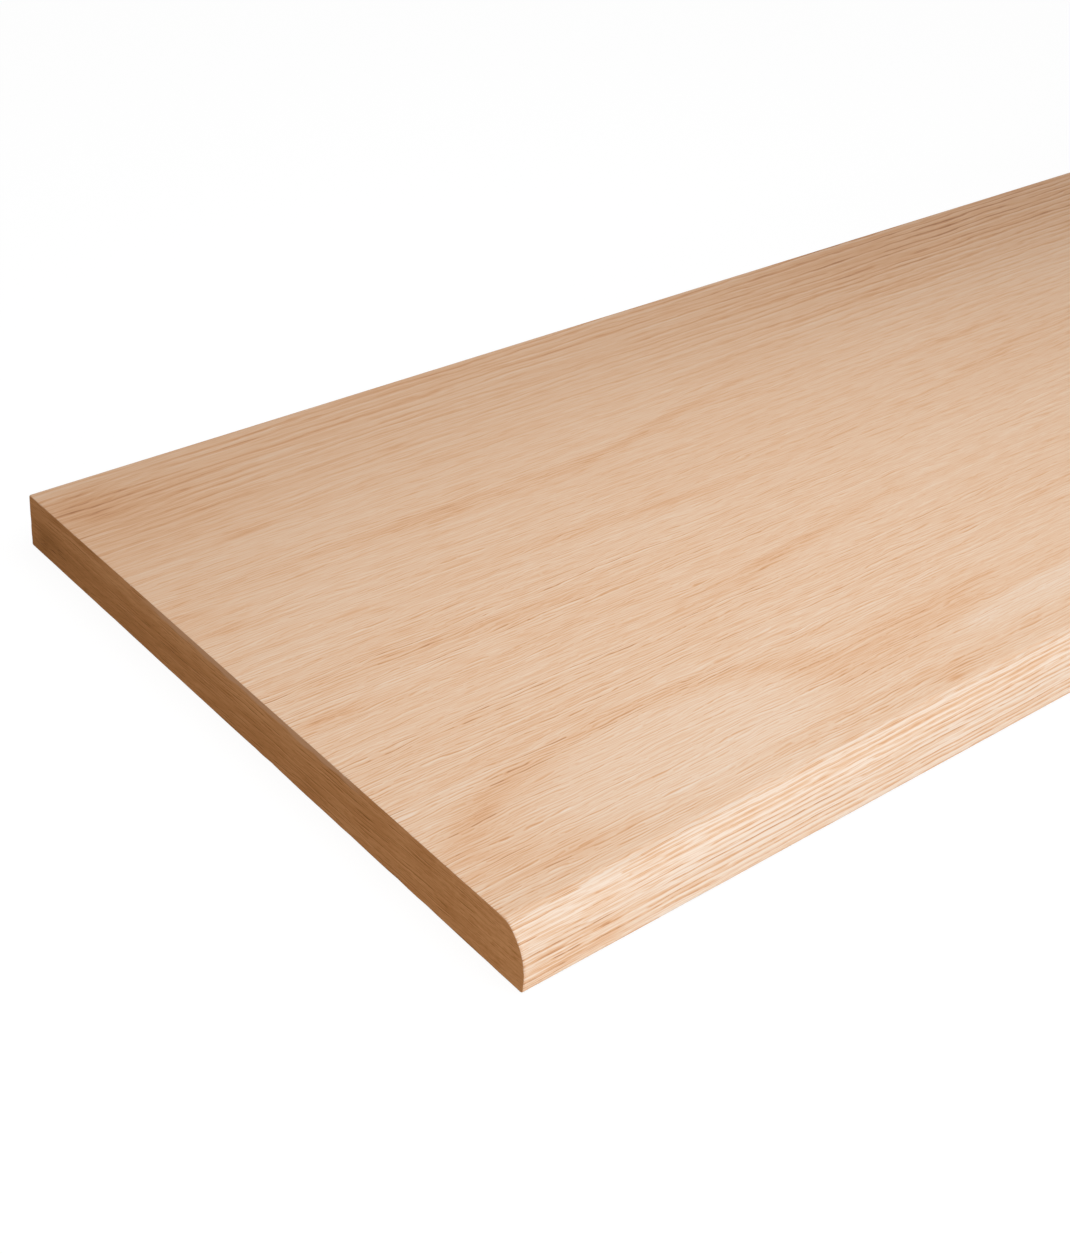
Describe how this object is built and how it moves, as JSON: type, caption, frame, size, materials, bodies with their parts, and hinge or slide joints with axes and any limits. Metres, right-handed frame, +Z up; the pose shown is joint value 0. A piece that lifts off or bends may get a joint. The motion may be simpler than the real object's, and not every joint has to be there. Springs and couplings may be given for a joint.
{
  "type": "stair tread",
  "caption": "Plain wooden stair tread: a flat solid board with a bowed, rounded nose along its front edge, a square back edge and square-cut ends.",
  "frame": {"origin": "on the underside, below the middle of the board", "axes": "+X along the board's length, -Y towards the rounded nose, +Y towards the square back edge, +Z up out of the walking face"},
  "size_m": [0.9144, 0.2922, 0.0222],
  "materials": {
    "oak": "bare sanded oak with a faint satin"
  },
  "bodies": {
    "root": {"tread": "oak"}
  },
  "joints": []
}
